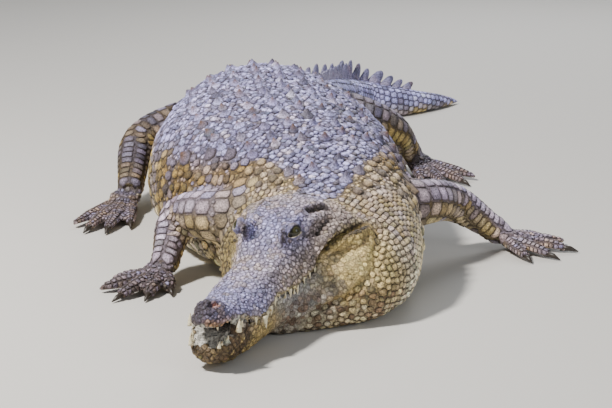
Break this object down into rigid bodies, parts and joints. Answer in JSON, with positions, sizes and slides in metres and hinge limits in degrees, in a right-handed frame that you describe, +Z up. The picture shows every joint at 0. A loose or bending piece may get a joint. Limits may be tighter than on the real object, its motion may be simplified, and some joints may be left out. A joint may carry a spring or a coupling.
{
  "type": "crocodile",
  "caption": "Life-size still model of a large adult crocodile lying on its belly, head turned to its right, legs spread and tail bent to its left.",
  "frame": {"origin": "on the floor, under the middle of the animal's bounding box", "axes": "+Z up from the floor, -Y the way the animal lies towards its head, +X its left side"},
  "size_m": [1.5015, 3.4407, 0.4433],
  "materials": {
    "hide": "dull scaly hide, olive, yellow and blue-grey",
    "claw": "dark worn horn",
    "eye": "wet dark olive eye"
  },
  "bodies": {
    "root": {"claw_foreleg_left_1": "claw", "claw_foreleg_left_2": "claw", "claw_foreleg_left_3": "claw", "claw_foreleg_right_1": "claw", "claw_foreleg_right_2": "claw", "claw_foreleg_right_3": "claw", "claw_hindleg_left_1": "claw", "claw_hindleg_left_2": "claw", "claw_hindleg_left_3": "claw", "claw_hindleg_right_1": "claw", "claw_hindleg_right_2": "claw", "claw_hindleg_right_3": "claw", "eye_left": "eye", "eye_right": "eye", "foreleg_left_foot": "hide", "foreleg_left_forearm": "hide", "foreleg_left_upper_arm": "hide", "foreleg_right_foot": "hide", "foreleg_right_forearm": "hide", "foreleg_right_upper_arm": "hide", "head": "hide", "hindleg_left_foot": "hide", "hindleg_left_shank": "hide", "hindleg_left_thigh": "hide", "hindleg_right_foot": "hide", "hindleg_right_shank": "hide", "hindleg_right_thigh": "hide", "lower_jaw": "hide", "neck": "hide", "tail_base": "hide", "tail_middle": "hide", "tail_rear": "hide", "tail_tip": "hide", "trunk_front": "hide", "trunk_rear": "hide"}
  },
  "joints": []
}
